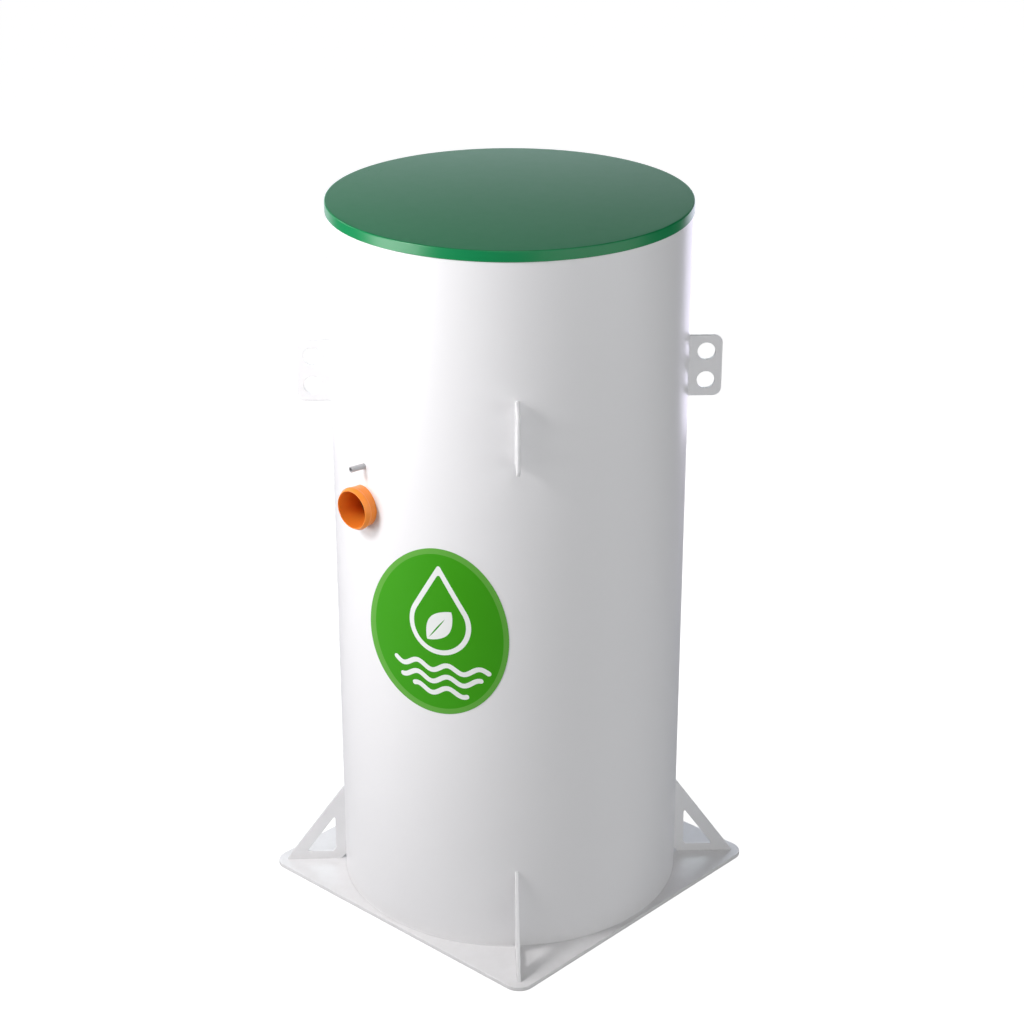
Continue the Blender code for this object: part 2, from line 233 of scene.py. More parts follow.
def placeGroup(tree, group, spot, **values):
    node = addNode(tree, "ShaderNodeGroup", spot)
    node.node_tree = group
    for key, value in values.items():
        node.inputs[key.replace("_", " ")].default_value = value
    return node


def plasticMaterial(name):
    look = finishes[name]
    material = bpy.data.materials.new(name)
    material.use_nodes = True
    tree = material.node_tree
    link = tree.links.new
    shader = tree.nodes["Principled BSDF"]
    shader.inputs["IOR"].default_value = look["ior"]
    skin = placeGroup(tree, plasticSkin, (-900, 200), Colour=(*look["colour"], 1), Shade=(*look["shade"], 1),
                      Mottle=look["mottle"], Roughness=look["roughness"], Spread=look["spread"],
                      Grain_Scale=look["grain"], Wave_Height=look["wave"])
    colour = skin.outputs["Colour"]
    rough = skin.outputs["Roughness"]
    if look["scuffs"]:
        scuff = placeGroup(tree, handlingScuffs, (-900, -200), Amount=look["scuffs"])
        rubbed = addMath(tree, "MULTIPLY", scuff.outputs["Mask"], scuffRoughness, (-650, -200))
        rough = addMath(tree, "ADD", rough, rubbed, (-500, -100), True)
    if look["dust"]:
        dust = placeGroup(tree, groundDust, (-350, 200), Amount=look["dust"], Reach=look["reach"])
        link(colour, dust.inputs["Colour"])
        link(rough, dust.inputs["Roughness"])
        colour = dust.outputs["Colour"]
        rough = dust.outputs["Roughness"]
    link(colour, shader.inputs["Base Color"])
    link(rough, shader.inputs["Roughness"])
    bump = addNode(tree, "ShaderNodeBump", (-300, -300), Strength=look["bump"], Distance=bumpDistance)
    link(skin.outputs["Height"], bump.inputs["Height"])
    link(bump.outputs["Normal"], shader.inputs["Normal"])
    return material


materials = {name: plasticMaterial(name) for name in finishes}
print("materials ready:", len(materials))


# Shapes that several pieces use

def roundedPath(corners, steps=6):
    # corners are (x, y, radius) in order; a radius of 0 keeps the corner sharp
    path = []
    for index, (x, y, radius) in enumerate(corners):
        here = Vector((x, y))
        if radius == 0:
            path.append(here)
            continue
        back = (Vector(corners[index - 1][:2]) - here).normalized()
        ahead = (Vector(corners[(index + 1) % len(corners)][:2]) - here).normalized()
        half = back.angle(ahead) / 2
        centre = here + (back + ahead).normalized() * radius / sin(half)
        first = here + back * radius / tan(half) - centre
        turn = (pi - 2 * half) * (1 if back.cross(ahead) < 0 else -1)
        path += [centre + Matrix.Rotation(turn * step / steps, 2) @ first for step in range(steps + 1)]
    return path


def onCircle(radius, angle, height):
    return Vector((radius * sin(angle), -radius * cos(angle), height))


def addPiece(name, bm, material, body):
    mesh = bpy.data.meshes.new(name)
    bmesh.ops.recalc_face_normals(bm, faces=bm.faces)
    bm.to_mesh(mesh)
    bm.free()
    for entry in (material if isinstance(material, list) else [material]):
        mesh.materials.append(materials[entry])
    piece = bpy.data.objects.new(name, mesh)
    bpy.context.scene.collection.objects.link(piece)
    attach(piece, body)
    return piece


def smoothShade(piece, angle=35):
    piece.data.shade_smooth()
    piece.data.set_sharp_from_angle(angle=radians(angle))
    weighted = piece.modifiers.new("weightedNormals", "WEIGHTED_NORMAL")
    weighted.keep_sharp = True


def applyModifiers(piece):
    graph = bpy.context.evaluated_depsgraph_get()
    baked = bpy.data.meshes.new_from_object(piece.evaluated_get(graph))
    piece.modifiers.clear()
    piece.data = baked


def lathe(path, steps):
    # turns a closed (radius, height) path round the upright axis
    bm = bmesh.new()
    rings = []
    for step in range(steps):
        angle = 2 * pi * step / steps
        rings.append([bm.verts.new(onCircle(radius, angle, height)) for radius, height in path])
    for step in range(steps):
        here = rings[step]
        there = rings[(step + 1) % steps]
        for index in range(len(path)):
            following = (index + 1) % len(path)
            if path[index][0] < 1e-6 and path[following][0] < 1e-6:
                continue
            bm.faces.new((here[index], there[index], there[following], here[following]))
    bmesh.ops.remove_doubles(bm, verts=bm.verts, dist=1e-6)
    return bm


def radialNormals(mesh):
    # true round normals on the upright skins, flat ones elsewhere
    upright = 0.98  # how squarely a face on a skin looks outwards or inwards
    normals = []
    for polygon in mesh.polygons:
        for loop in polygon.loop_indices:
            spot = mesh.vertices[mesh.loops[loop].vertex_index].co
            outward = Vector((spot.x, spot.y, 0)).normalized()
            facing = polygon.normal.dot(outward)
            if abs(facing) > upright:
                normals.append(outward if facing > 0 else -outward)
            else:
                normals.append(polygon.normal.copy())
    mesh.shade_smooth()
    mesh.normals_split_custom_set(normals)


def fillOutlines(outlines):
    # a flat curve fills closed outlines, and outlines inside others are holes
    curve = bpy.data.curves.new("outline", "CURVE")
    curve.dimensions = "2D"
    curve.fill_mode = "FRONT"
    for outline in outlines:
        spline = curve.splines.new("POLY")
        spline.points.add(len(outline) - 1)
        for point, (x, y) in zip(spline.points, outline):
            point.co = (x, y, 0, 1)
        spline.use_cyclic_u = True
    flat = bpy.data.objects.new("outline", curve)
    bpy.context.scene.collection.objects.link(flat)
    graph = bpy.context.evaluated_depsgraph_get()
    mesh = bpy.data.meshes.new_from_object(flat.evaluated_get(graph))
    bm = bmesh.new()
    bm.from_mesh(mesh)
    bmesh.ops.remove_doubles(bm, verts=bm.verts, dist=1e-6)
    bpy.data.objects.remove(flat, do_unlink=True)
    bpy.data.curves.remove(curve)
    bpy.data.meshes.remove(mesh)
    return bm


def insetOutline(outline, inset):
    # moves a closed outline inwards when it runs anticlockwise, outwards when clockwise
    moved = []
    for index, spot in enumerate(outline):
        here = Vector(spot)
        before = (here - Vector(outline[index - 1])).normalized()
        after = (Vector(outline[(index + 1) % len(outline)]) - here).normalized()
        first = Vector((-before.y, before.x))
        second = Vector((-after.y, after.x))
        moved.append(here + (first + second) * inset / (1 + first.dot(second)))
    return moved


def runsLeft(outline):
    # true for an anticlockwise outline
    return sum(a[0] * b[1] - b[0] * a[1] for a, b in zip(outline, outline[1:] + outline[:1])) > 0


edgeSteps = 4  # flat strips in each rounded sheet edge
rootDepth = 0.0005  # how far a sheet's rounded root lies inside the wall, so that no slit shows


def sheetPiece(name, outlines, thickness, edge, place, holeEdge=None):
    # the first outline made thick, with the others as holes and every edge rounded
    turned = [path if runsLeft(path) == (number == 0) else path[::-1]
              for number, path in enumerate(outlines)]
    edges = [edge] + [holeEdge or edge] * (len(outlines) - 1)
    bm = bmesh.new()
    for path, bevel in zip(turned, edges):
        bend = [(bevel * (1 - sin(turn)), bevel * (1 - cos(turn)) - thickness / 2)
                for turn in (pi / 2 * step / edgeSteps for step in range(edgeSteps + 1))]
        levels = bend + [(inset, -height) for inset, height in reversed(bend)]
        rings = [[bm.verts.new((x, y, height)) for x, y in insetOutline(path, inset)]
                 for inset, height in levels]
        for here, there in zip(rings, rings[1:]):
            for index in range(len(path)):
                bm.faces.new((here[index - 1], here[index], there[index], there[index - 1]))
    cap = fillOutlines([insetOutline(path, bevel) for path, bevel in zip(turned, edges)])
    mesh = bpy.data.meshes.new("cap")
    cap.to_mesh(mesh)
    cap.free()
    for height in (-thickness / 2, thickness / 2):
        known = set(bm.verts)
        bm.from_mesh(mesh)
        bmesh.ops.translate(bm, verts=[vert for vert in bm.verts if vert not in known], vec=(0, 0, height))
    bpy.data.meshes.remove(mesh)
    bmesh.ops.remove_doubles(bm, verts=bm.verts, dist=2e-6)
    bmesh.ops.transform(bm, matrix=place, verts=bm.verts)
    piece = addPiece(name, bm, "whiteSheet", "tank")
    smoothShade(piece, 40)
    return piece


# Tank wall

wall = {"steps": 256, "row": 0.05, "edge": 0.0012, "pipeHole": 0.0569, "conduitHole": 0.0083,
        "cutterReach": 0.06, "cutterSteps": 64}


def pipeCutter(name, radius, place):
    reach = wall["cutterReach"]
    bm = lathe([(0, -reach), (radius, -reach), (radius, reach), (0, reach)], wall["cutterSteps"])
    bmesh.ops.recalc_face_normals(bm, faces=bm.faces)
    bmesh.ops.transform(bm, matrix=place @ Matrix.Rotation(pi / 2, 4, "X"), verts=bm.verts)
    mesh = bpy.data.meshes.new(name)
    bm.to_mesh(mesh)
    bm.free()
    cutter = bpy.data.objects.new(name, mesh)
    bpy.context.scene.collection.objects.link(cutter)
    return cutter


def makeWall():
    low = wallLow.z
    high = wallHigh.z
    rows = round((high - low) / wall["row"])
    heights = [low + (high - low) * row / rows for row in range(rows + 1)]
    edge = wall["edge"]
    outer = [(tankRadius, z) for z in heights[1:-1]]
    inner = [(innerRadius, z) for z in reversed(heights[1:-1])]
    top = [(tankRadius, high - edge), (tankRadius - edge, high), (innerRadius, high)]
    foot = [(innerRadius, low), (tankRadius, low)]
    piece = addPiece("tankWall", lathe(outer + top + inner + foot, wall["steps"]), "whiteSheet",
                     "tank")
    low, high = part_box("inlet_socket")
    inletPlace = Matrix.Translation(((low.x + high.x) / 2, -tankRadius, (low.z + high.z) / 2))
    cutters = [pipeCutter("pipeHole", wall["pipeHole"], inletPlace),
               pipeCutter("conduitHole", wall["conduitHole"], conduitPlace(tankRadius))]
    for cutter in cutters:
        cut = piece.modifiers.new(cutter.name, "BOOLEAN")
        cut.operation = "DIFFERENCE"
        cut.solver = "EXACT"
        cut.object = cutter
    applyModifiers(piece)
    for cutter in cutters:
        bpy.data.objects.remove(cutter, do_unlink=True)
    radialNormals(piece.data)
    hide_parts(*[f"wall_{side}" for side in wallSides])


def conduitPlace(radius):
    low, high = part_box("cable_conduit")
    middle = (low + high) / 2
    angle = atan2(middle.x, -middle.y)
    return Matrix.Translation(onCircle(radius, angle, middle.z)) @ Matrix.Rotation(angle, 4, "Z")


makeWall()
print("tank wall ready")


# Lid

lid = {"steps": 256, "edge": 0.0036, "underEdge": 0.0012, "rimWidth": 0.012, "ringEdge": 0.0010,
       "ringThickness": 0.006, "innerShare": 0.98}


def makeLid():
    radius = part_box("lid_cover")[1].x
    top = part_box("lid_cover")[1].z
    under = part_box("lid_cover")[0].z
    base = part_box("lid_rim")[0].z
    rim = radius - lid["rimWidth"]
    path = roundedPath([(0, top, 0), (radius * lid["innerShare"], top, 0), (radius, top, lid["edge"]),
                        (radius, base, lid["underEdge"]), (rim, base, lid["underEdge"]),
                        (rim, under, 0), (0, under, 0)])
    cover = addPiece("lidCover", lathe(path, lid["steps"]), "greenSheet", "lid")
    smoothShade(cover)
    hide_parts("lid_cover", "lid_rim")

    low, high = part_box("lid_locating_ring")
    inner = high.x - lid["ringThickness"]
    edge = lid["ringEdge"]
    path = roundedPath([(high.x, high.z, 0), (high.x, low.z, edge), (inner, low.z, edge),
                        (inner, high.z, 0)], 3)
    ring = addPiece("lidRing", lathe(path, lid["steps"]), "greenSheet", "lid")
    smoothShade(ring)
    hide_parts("lid_locating_ring")


makeLid()
print("lid ready")


# Base plate

plate = {"corner": 0.049, "cornerSteps": 24, "edge": 0.0022}


def makePlate():
    size = plateHigh - plateLow
    x = size.x / 2
    y = size.y / 2
    corner = plate["corner"]
    outline = roundedPath([(x, y, corner), (-x, y, corner), (-x, -y, corner), (x, -y, corner)],
                          plate["cornerSteps"])
    middle = (plateLow + plateHigh) / 2
    piece = sheetPiece("basePlate", [outline], size.z, plate["edge"], Matrix.Translation(middle))
    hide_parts("base_plate")


makePlate()
print("base plate ready")


# Lifting lugs

lug = {"thickness": 0.010, "corner": 0.024, "hole": 0.025, "holeReach": 0.0515, "holeSpacing": 0.085,
       "edge": 0.0035, "holeEdge": 0.0012, "arcSteps": 12, "holePoints": 56}


def diagonalPlace(angle, radius, height):
    # x outwards, y up, z across the sheet
    turn = Matrix.Rotation(angle - pi / 2, 4, "Z") @ Matrix.Rotation(pi / 2, 4, "X")
    return Matrix.Translation(onCircle(radius, angle, height)) @ turn


def diagonalReach(node, thickness):
    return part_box(node)[1].x * sqrt(2) - thickness / 2 - tankRadius


def circlePath(x, y, radius, count):
    turns = [2 * pi * i / count for i in range(count)]
    return [(x + radius * cos(turn), y + radius * sin(turn)) for turn in turns]


def makeLug(corner, angle):
    low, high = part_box(f"lug_{corner}")
    reach = diagonalReach("lug_front_right", lug["thickness"])
    half = (high.z - low.z) / 2
    root = -lug["edge"] - rootDepth
    turn = lug["corner"]
    outline = roundedPath([(root, -half, 0), (reach, -half, turn), (reach, half, turn), (root, half, 0)],
                          lug["arcSteps"])
    holes = [circlePath(lug["holeReach"], side * lug["holeSpacing"] / 2, lug["hole"], lug["holePoints"])
             for side in (-1, 1)]
    place = diagonalPlace(angle, tankRadius, (low.z + high.z) / 2)
    piece = sheetPiece(f"lug_{corner}_sheet", [outline, *holes], lug["thickness"], lug["edge"], place,
                       lug["holeEdge"])
    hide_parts(f"lug_{corner}")


for cornerName, cornerAngle in cornerAngles.items():
    makeLug(cornerName, cornerAngle)
print("lugs ready")


# Gussets

gusset = {"thickness": 0.009, "clipWidth": 0.0165, "clipHeight": 0.018, "wallRib": 0.0305,
          "footRib": 0.026, "slopeRib": 0.034, "innerClipWidth": 0.008, "innerClipHeight": 0.010,
          "tip": 0.004, "windowCorner": 0.003, "edge": 0.0014}


def makeGusset(corner, angle):
    low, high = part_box(f"gusset_{corner}")
    reach = diagonalReach("gusset_front_right", gusset["thickness"])
    tall = high.z - plateHigh.z
    root = -gusset["edge"] - rootDepth
    tip = gusset["tip"]
    outline = roundedPath([(root, tall, 0), (root, gusset["clipHeight"], 0), (gusset["clipWidth"], root, 0),
                           (reach, root, 0), (reach, tip, 0), (tip, tall, 0)])
    slope = tall / reach
    drop = gusset["slopeRib"] * sqrt(1 + slope * slope)
    wallRib = gusset["wallRib"]
    footRib = gusset["footRib"]
    top = tall - drop - slope * wallRib
    end = (tall - drop - footRib) / slope
    small = gusset["windowCorner"]
    window = roundedPath([(wallRib, top, small), (wallRib, footRib + gusset["innerClipHeight"], small),
                          (wallRib + gusset["innerClipWidth"], footRib, small), (end, footRib, small)], 3)
    place = diagonalPlace(angle, tankRadius, plateHigh.z)
    piece = sheetPiece(f"gusset_{corner}_sheet", [outline, window], gusset["thickness"], gusset["edge"],
                       place)
    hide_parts(f"gusset_{corner}")


for cornerName, cornerAngle in cornerAngles.items():
    makeGusset(cornerName, cornerAngle)
print("gussets ready")


# Weld beads

weld = {"radius": 0.0022, "sheetShare": 0.85, "step": 0.0030, "sides": 10, "smooth": 60,
        "ripple": 0.10, "rippleLength": 0.009, "slowRipple": 0.05, "slowLength": 0.0333,
        "sink": 0.0002, "endGap": 0.001, "footEnd": 0.006, "slopeEnd": 0.008}


def beadTube(bm, points, radius, outwards=None, flatness=1.0):
    # a closed tube along the points, thick and thin by turns as a hand weld is; outwards is its flat way
    travelled = 0.0
    rings = []
    for index, point in enumerate(points):
        before = points[max(index - 1, 0)]
        after = points[min(index + 1, len(points) - 1)]
        travelled += (point - before).length
        along = (after - before).normalized()
        side = along.orthogonal().normalized() if outwards is None else outwards
        up = along.cross(side)
        swell = 1 + weld["ripple"] * sin(2 * pi * travelled / weld["rippleLength"])
        swell += weld["slowRipple"] * sin(2 * pi * travelled / weld["slowLength"] + 1)
        ring = []
        for number in range(weld["sides"]):
            turn = 2 * pi * number / weld["sides"]
            reach = radius * swell * (cos(turn) * side * flatness + sin(turn) * up)
            ring.append(bm.verts.new(point + reach))
        rings.append(ring)
    for here, there in zip(rings, rings[1:]):
        for number in range(weld["sides"]):
            following = (number + 1) % weld["sides"]
            bm.faces.new((here[number], here[following], there[following], there[number]))
    bm.faces.new(rings[0])
    bm.faces.new(reversed(rings[-1]))


def straightPoints(start, end):
    count = max(2, round((end - start).length / weld["step"]))
    return [start.lerp(end, i / count) for i in range(count + 1)]


def makeFootWeld():
    bm = bmesh.new()
    count = round(2 * pi * tankRadius / weld["step"])
    points = [onCircle(tankRadius, 2 * pi * i / count, plateHigh.z) for i in range(count + 1)]
    beadTube(bm, points, weld["radius"])
    piece = addPiece("footWeld", bm, "whiteWeld", "tank")
    smoothShade(piece, weld["smooth"])


def makeGussetWeld(corner, angle):
    bm = bmesh.new()
    place = diagonalPlace(angle, tankRadius, plateHigh.z)
    reach = diagonalReach("gusset_front_right", gusset["thickness"])
    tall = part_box(f"gusset_{corner}")[1].z - plateHigh.z
    for side in (-0.5, 0.5):
        z = side * gusset["thickness"]
        foot = (Vector((gusset["clipWidth"] + weld["endGap"], 0, z)),
                Vector((reach - weld["footEnd"], 0, z)))
        back = (Vector((-weld["sink"], gusset["clipHeight"] + weld["endGap"], z)),
                Vector((-weld["sink"], tall - weld["slopeEnd"], z)))
        for start, end in (foot, back):
            beadTube(bm, straightPoints(place @ start, place @ end), weld["radius"] * weld["sheetShare"])
    piece = addPiece(f"gussetWeld_{corner}", bm, "whiteWeld", "tank")
    smoothShade(piece, weld["smooth"])


def makeLugWeld(corner, angle):
    bm = bmesh.new()
    low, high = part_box(f"lug_{corner}")
    place = diagonalPlace(angle, tankRadius, (low.z + high.z) / 2)
    half = (high.z - low.z) / 2 - weld["endGap"]
    for side in (-0.5, 0.5):
        z = side * lug["thickness"]
        start = Vector((-weld["sink"], -half, z))
        end = Vector((-weld["sink"], half, z))
        beadTube(bm, straightPoints(place @ start, place @ end), weld["radius"] * weld["sheetShare"])
    piece = addPiece(f"lugWeld_{corner}", bm, "whiteWeld", "tank")
    smoothShade(piece, weld["smooth"])


seam = {"angle": radians(205), "width": 0.0045, "flatness": 0.28, "low": 0.004, "high": 0.002}


def makeBackSeam():
    bm = bmesh.new()
    start = onCircle(tankRadius, seam["angle"], wallLow.z + seam["low"])
    end = onCircle(tankRadius, seam["angle"], wallHigh.z - seam["high"])
    beadTube(bm, straightPoints(start, end), seam["width"], onCircle(1, seam["angle"], 0), seam["flatness"])
    piece = addPiece("backSeam", bm, "whiteWeld", "tank")
    smoothShade(piece, weld["smooth"])


makeFootWeld()
for cornerName, cornerAngle in cornerAngles.items():
    makeGussetWeld(cornerName, cornerAngle)
    makeLugWeld(cornerName, cornerAngle)
makeBackSeam()
print("welds ready")


# Inlet socket and cable conduit

inlet = {"steps": 96, "deepBore": 0.0505, "deepOuter": 0.0562, "smooth": 50, "profile": [
    # radius, depth behind the mouth, and rounding
    (0.0520, 0.0100, 0.0200),  # bore
    (0.0523, 0.0000, 0.0009),  # mouth
    (0.0545, 0.0000, 0.0012),  # lip
    (0.0607, 0.0105, 0.0040),  # front of the bead
    (0.0603, 0.0150, 0.0030),  # back of the bead
    (0.0580, 0.0195, 0.0012),  # notch
    (0.0583, 0.0225, 0.0020),  # front of the band
    (0.0568, 0.0443, 0.0100),  # back of the band
]}
conduit = {"steps": 40, "bore": 0.0060, "edge": 0.0007, "smooth": 50}


def makeInlet():
    low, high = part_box("inlet_socket")
    length = high.y - low.y
    profile = [(radius, -depth, rounding) for radius, depth, rounding in inlet["profile"]]
    path = roundedPath([(inlet["deepBore"], -length, 0), *profile, (inlet["deepOuter"], -length, 0)], 5)
    bm = lathe(path, inlet["steps"])
    place = Matrix.Translation(((low.x + high.x) / 2, low.y, (low.z + high.z) / 2))
    bmesh.ops.transform(bm, matrix=place @ Matrix.Rotation(pi / 2, 4, "X"), verts=bm.verts)
    piece = addPiece("inletSocket", bm, "orangePipe", "tank")
    smoothShade(piece, inlet["smooth"])
    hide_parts("inlet_socket")


def makeConduit():
    low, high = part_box("cable_conduit")
    outer = (high.z - low.z) / 2
    middle = (low + high) / 2
    angle = atan2(middle.x, -middle.y)
    length = (high.y - low.y - 2 * outer * sin(abs(angle))) / cos(angle)
    edge = conduit["edge"]
    path = roundedPath([(outer, length / 2, edge), (conduit["bore"], length / 2, edge),
                        (conduit["bore"], -length / 2, 0), (outer, -length / 2, 0)], 3)
    bm = lathe(path, conduit["steps"])
    place = conduitPlace(hypot(middle.x, middle.y))
    bmesh.ops.transform(bm, matrix=place @ Matrix.Rotation(pi / 2, 4, "X"), verts=bm.verts)
    piece = addPiece("cableConduit", bm, "greyPipe", "tank")
    smoothShade(piece, conduit["smooth"])
    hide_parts("cable_conduit")


makeInlet()
makeConduit()
print("inlet and conduit ready")


# Label: a thin film with a water drop, a leaf and waves

label = {"angle": radians(20.2), "height": 1.000, "halfWidth": 0.184, "halfHeight": 0.232,
         "tilt": radians(17.3), "punchAngle": radians(45), "punchSlope": radians(25), "points": 180,
         "border": 0.015, "gap": 0.0003, "thickness": 0.0006, "columns": 0.006,
         "stroke": 0.0145, "dropRadius": 0.092, "dropTip": 0.180, "dropRise": 0.024, "dropSteps": 48,
         "tipRadius": 0.006, "leafLength": 0.118, "leafWidth": 0.034, "leafTurn": radians(52),
         "leafDrop": 0.004, "leafBelly": 0.85, "veinWidth": 0.0022, "veinInset": 0.008, "veinShare": 0.68,
         "waveRise": 0.0100, "waveLength": 0.092, "waveSteps": 60,
         "waves": [(-0.108, 0.140), (-0.143, 0.118), (-0.178, 0.078)]}  # height and half width of each


def punchOutline(inset):
    # the oval punch comes down on the wall at a slant; gives (arc length, height) from the label's middle
    turn = Matrix.Rotation(label["punchAngle"], 3, "Z")
    turn = turn @ Matrix.Rotation(pi / 2 - label["punchSlope"], 3, "X")
    turn = turn @ Matrix.Rotation(label["tilt"], 3, "Z")
    middle = onCircle(tankRadius, label["angle"], label["height"])
    aim = turn @ Vector((0, 0, 1))
    skin = tankRadius + label["gap"]
    outline = []
    for i in range(label["points"]):
        t = 2 * pi * i / label["points"]
        flat = Vector(((label["halfWidth"] - inset) * cos(t), (label["halfHeight"] - inset) * sin(t), 0))
        start = middle + turn @ flat
        a = aim.x ** 2 + aim.y ** 2
        b = start.x * aim.x + start.y * aim.y
        c = start.x ** 2 + start.y ** 2 - skin ** 2
        spot = start + aim * ((-b + sqrt(b * b - a * c)) / a)
        outline.append((tankRadius * (atan2(spot.x, -spot.y) - label["angle"]), spot.z - label["height"]))
    return outline


def dropOutline(radius, tip):
    # a circle with two tangents that meet in a rounded tip
    lean = asin(radius / tip)
    count = label["dropSteps"]
    arc = [(radius * cos(a), radius * sin(a) + label["dropRise"])
           for a in (pi - lean + (pi + 2 * lean) * i / count for i in range(count + 1))]
    top = tip + label["dropRise"]
    point = roundedPath([(*arc[-1], 0), (0, top, label["tipRadius"]), (*arc[0], 0)], 6)
    return arc[:-1] + [tuple(spot) for spot in point[:-1]]


def leafOutline(start, turn, length, width, count=20):
    along = Vector((cos(turn), sin(turn)))
    across = Vector((-sin(turn), cos(turn)))
    belly = [width * sin(pi * i / count) ** label["leafBelly"] for i in range(count + 1)]
    left, right = [[start + along * length * i / count + across * side * belly[i] for i in range(count + 1)]
                   for side in (1, -1)]
    return [tuple(spot) for spot in left[:-1] + right[:0:-1]]


def strokeOutline(line, width, capSteps=8):
    left = []
    right = []
    for index, spot in enumerate(line):
        along = (line[min(index + 1, len(line) - 1)] - line[max(index - 1, 0)]).normalized()
        across = Vector((-along.y, along.x)) * width / 2
        left.append(spot + across)
        right.append(spot - across)
    caps = []
    for centre, first in ((line[-1], left[-1] - line[-1]), (line[0], right[0] - line[0])):
        caps.append([centre + Matrix.Rotation(-pi * i / capSteps, 2) @ first for i in range(1, capSteps)])
    return [tuple(spot) for spot in left + caps[0] + right[::-1] + caps[1]]


def motifOutlines():
    stroke = label["stroke"]
    radius = label["dropRadius"]
    tip = label["dropTip"]
    inner = radius - stroke
    outlines = [dropOutline(radius, tip), dropOutline(inner, tip * inner / radius)]
    turn = label["leafTurn"]
    length = label["leafLength"]
    along = Vector((cos(turn), sin(turn)))
    start = Vector((0, label["dropRise"] - label["leafDrop"])) - along * length / 2
    outlines.append(leafOutline(start, turn, length, label["leafWidth"]))
    start += along * label["veinInset"]
    outlines.append(leafOutline(start, turn, length * label["veinShare"], label["veinWidth"], 12))
    steps = label["waveSteps"]
    for height, half in label["waves"]:
        line = [Vector((x, height + label["waveRise"] * sin(2 * pi * x / label["waveLength"])))
                for x in (-half + 2 * half * i / steps for i in range(steps + 1))]
        outlines.append(strokeOutline(line, stroke))
    return outlines


def makeLabel():
    outer = punchOutline(0)
    inner = punchOutline(label["border"])
    motif = motifOutlines()
    layers = [[inner, *motif], [outer, inner], motif]  # ground, border, motif
    bm = bmesh.new()
    for number, outlines in enumerate(layers):
        part = fillOutlines(outlines)
        for face in part.faces:
            face.material_index = number
        mesh = bpy.data.meshes.new("layer")
        part.to_mesh(mesh)
        part.free()
        bm.from_mesh(mesh)
        bpy.data.meshes.remove(mesh)
    bmesh.ops.remove_doubles(bm, verts=bm.verts, dist=1e-5)
    left = min(x for x, y in outer)
    right = max(x for x, y in outer)
    columns = round((right - left) / label["columns"])
    for i in range(1, columns):
        x = left + (right - left) * i / columns
        bmesh.ops.bisect_plane(bm, geom=bm.verts[:] + bm.edges[:] + bm.faces[:], dist=1e-6,
                               plane_co=(x, 0, 0), plane_no=(1, 0, 0))
    skin = tankRadius + label["gap"]
    for vert in bm.verts:
        angle = label["angle"] + vert.co.x / tankRadius
        vert.co = onCircle(skin, angle, label["height"] + vert.co.y)
    piece = addPiece("labelFilm", bm, ["filmGround", "filmBorder", "filmMotif"], "tank")
    face = piece.data.polygons[0]
    if face.normal.dot(Vector((face.center.x, face.center.y, 0))) < 0:
        piece.data.flip_normals()  # the film thickens outwards
    solid = piece.modifiers.new("film", "SOLIDIFY")
    solid.thickness = label["thickness"]
    solid.offset = 1
    applyModifiers(piece)
    radialNormals(piece.data)
    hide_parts("round_label")


makeLabel()
print("label ready")


# Tank floor stays as it is and gets the sheet's finish

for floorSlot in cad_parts["tank_floor"].material_slots:
    floorSlot.material = materials["whiteSheet"]
print("tank floor ready")


# Studio

studio = {"floorSize": 160.0, "floorAlbedo": 0.60, "floorGlow": 1.0, "floorShade": 0.25}
lights = {
    "keySoftbox": {"angle": radians(-17.3), "distance": 2.5, "height": 2.95, "aim": 1.3,
                   "width": 0.8, "tall": 0.8, "watts": 50, "colour": (1.0, 0.985, 1.0)},
    "keyStrip": {"angle": radians(-25.3), "distance": 2.8, "height": 1.5, "aim": 1.3,
                 "width": 1.8, "tall": 1.0, "watts": 36, "colour": (1.0, 0.985, 1.0)},
    "leftSoftbox": {"angle": radians(-67.3), "distance": 2.3, "height": 2.6, "aim": 1.3,
                    "width": 0.8, "tall": 0.8, "watts": 7, "colour": (1.0, 0.985, 1.0)},
    "frontSoftbox": {"angle": radians(42.7), "distance": 2.6, "height": 3.2, "aim": 1.3,
                     "width": 1.2, "tall": 0.8, "watts": 9, "colour": (1.0, 0.985, 1.0)},
    "rightPanel": {"angle": radians(192.7), "distance": 3.5, "height": 1.1, "aim": 1.1,
                   "width": 1.9, "tall": 2.0, "watts": 30, "colour": (0.86, 0.82, 1.0)},
    "leftPanel": {"angle": radians(-105.3), "distance": 3.5, "height": 1.1, "aim": 1.1,
                  "width": 1.9, "tall": 2.0, "watts": 15, "colour": (0.88, 0.84, 1.0)},
    "backPanel": {"angle": radians(222.7), "distance": 2.6, "height": 2.0, "aim": 2.0,
                  "width": 3.0, "tall": 1.3, "watts": 27, "colour": (0.82, 0.96, 1.0)},
    "overhead": {"angle": radians(222.7), "distance": 0.5, "height": 5.5, "aim": 2.0,
                 "width": 2.5, "tall": 2.5, "watts": 19, "colour": (1.0, 1.0, 1.0)},
    "sideWall": {"angle": radians(92.7), "distance": 5.0, "height": 1.8, "aim": 1.2,
                 "width": 7.0, "tall": 3.0, "watts": 100, "colour": (0.975, 0.985, 1.0)},
    "frontWall": {"angle": radians(67.7), "distance": 5.5, "height": 3.0, "aim": 1.2,
                  "width": 6.0, "tall": 3.0, "watts": 23, "colour": (1.0, 1.0, 1.0)},
}
view = {"place": (4.24361, -4.58386, 3.87991), "down": 23.5621, "turn": 42.7335, "lens": 83.355,
        "sensor": 36.0}


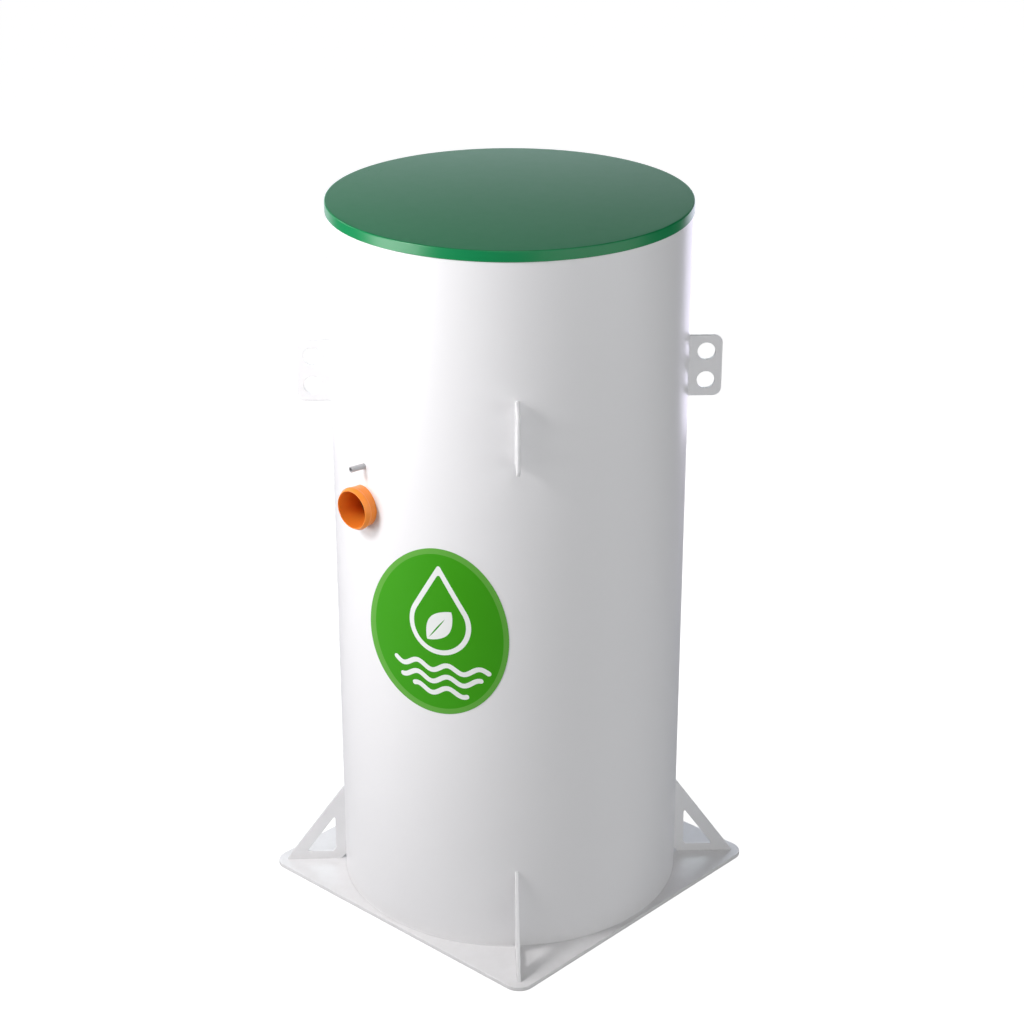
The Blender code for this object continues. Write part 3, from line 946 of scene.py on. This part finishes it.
def makeFloor():
    # the camera sees a bright floor, and the tank gets a duller floor's light
    half = studio["floorSize"] / 2
    corners = [(-half, -half, 0), (half, -half, 0), (half, half, 0), (-half, half, 0)]
    mesh = bpy.data.meshes.new("studioFloor")
    mesh.from_pydata(corners, [], [(0, 1, 2, 3)])
    floor = bpy.data.objects.new("studioFloor", mesh)
    bpy.context.scene.collection.objects.link(floor)
    material = bpy.data.materials.new("studioFloor")
    material.use_nodes = True
    tree = material.node_tree
    tree.nodes.clear()
    link = tree.links.new
    end = addNode(tree, "ShaderNodeOutputMaterial", (600, 0))
    path = addNode(tree, "ShaderNodeLightPath", (-200, 300))
    bounce = addNode(tree, "ShaderNodeBsdfDiffuse", (-200, 0), Color=(*[studio["floorAlbedo"]] * 3, 1))
    shade = addNode(tree, "ShaderNodeBsdfDiffuse", (-200, -200), Color=(*[studio["floorShade"]] * 3, 1))
    glow = addNode(tree, "ShaderNodeEmission", (-200, -400), Strength=studio["floorGlow"])
    seen = addNode(tree, "ShaderNodeAddShader", (100, -250))
    mix = addNode(tree, "ShaderNodeMixShader", (350, 0))
    link(shade.outputs[0], seen.inputs[0])
    link(glow.outputs[0], seen.inputs[1])
    link(path.outputs["Is Camera Ray"], mix.inputs[0])
    link(bounce.outputs[0], mix.inputs[1])
    link(seen.outputs[0], mix.inputs[2])
    link(mix.outputs[0], end.inputs["Surface"])
    mesh.materials.append(material)


def makeWorld():
    # white to the camera, and no light of its own
    world = bpy.data.worlds.new("studioWorld")
    bpy.context.scene.world = world
    world.use_nodes = True
    tree = world.node_tree
    tree.nodes.clear()
    link = tree.links.new
    end = addNode(tree, "ShaderNodeOutputWorld", (600, 0))
    path = addNode(tree, "ShaderNodeLightPath", (-200, 0))
    sky = addNode(tree, "ShaderNodeBackground", (200, 0), Color=(1, 1, 1, 1))
    link(path.outputs["Is Camera Ray"], sky.inputs["Strength"])
    link(sky.outputs[0], end.inputs["Surface"])


def makeLight(name, values):
    lamp = bpy.data.lights.new(name, "AREA")
    lamp.shape = "RECTANGLE"
    lamp.size = values["width"]
    lamp.size_y = values["tall"]
    lamp.energy = values["watts"]
    lamp.color = values["colour"]
    light = bpy.data.objects.new(name, lamp)
    bpy.context.scene.collection.objects.link(light)
    light.location = onCircle(values["distance"], values["angle"], values["height"])
    aim = Vector((0, 0, values["aim"])) - light.location
    light.rotation_euler = aim.to_track_quat("-Z", "Y").to_euler()
    light.visible_camera = False


def makeCamera():
    data = bpy.data.cameras.new("photoCamera")
    data.sensor_width = view["sensor"]
    data.lens = view["lens"]
    camera = bpy.data.objects.new("photoCamera", data)
    bpy.context.scene.collection.objects.link(camera)
    camera.location = view["place"]
    camera.rotation_euler = (radians(90 - view["down"]), 0, radians(view["turn"]))
    bpy.context.scene.camera = camera


makeFloor()
makeWorld()
for lightName, lightValues in lights.items():
    makeLight(lightName, lightValues)
makeCamera()
bpy.context.scene.view_settings.view_transform = "Standard"
print("studio ready")
